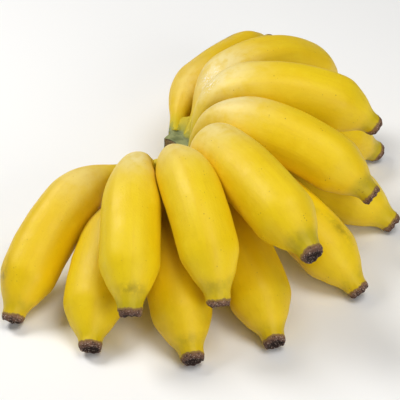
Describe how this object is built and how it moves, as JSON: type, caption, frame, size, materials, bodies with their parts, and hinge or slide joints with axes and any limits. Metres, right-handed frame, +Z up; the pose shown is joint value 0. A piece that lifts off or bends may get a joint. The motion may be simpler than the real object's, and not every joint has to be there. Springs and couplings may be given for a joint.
{
  "type": "bunch of bananas",
  "caption": "A hand of small ripe bananas in two rows on one crown, arched outwards and resting on its fingertips.",
  "frame": {"origin": "on the surface that the bunch rests on, under the middle of its bounding box", "axes": "+Z up, -Y towards the front fingers, +X to the right; the knife-cut face of the crown looks towards -X and +Y"},
  "size_m": [0.227, 0.2932, 0.0896],
  "materials": {
    "banana_peel": "waxy ripe yellow peel, satin, greenish at both necks",
    "dried_tip": "matt dried flower end, dark brown with a tan torn rim",
    "crown_stalk": "matt grey-green stalk with a dried fibrous cut"
  },
  "bodies": {
    "root": {"crown": "crown_stalk", "banana_upper_1": "banana_peel", "banana_upper_2": "banana_peel", "banana_upper_3": "banana_peel", "banana_upper_4": "banana_peel", "banana_upper_5": "banana_peel", "banana_upper_6": "banana_peel", "banana_upper_7": "banana_peel", "banana_upper_8": "banana_peel", "banana_lower_1": "banana_peel", "banana_lower_2": "banana_peel", "banana_lower_3": "banana_peel", "banana_lower_4": "banana_peel", "banana_lower_5": "banana_peel", "banana_lower_6": "banana_peel", "banana_lower_7": "banana_peel"}
  },
  "joints": []
}
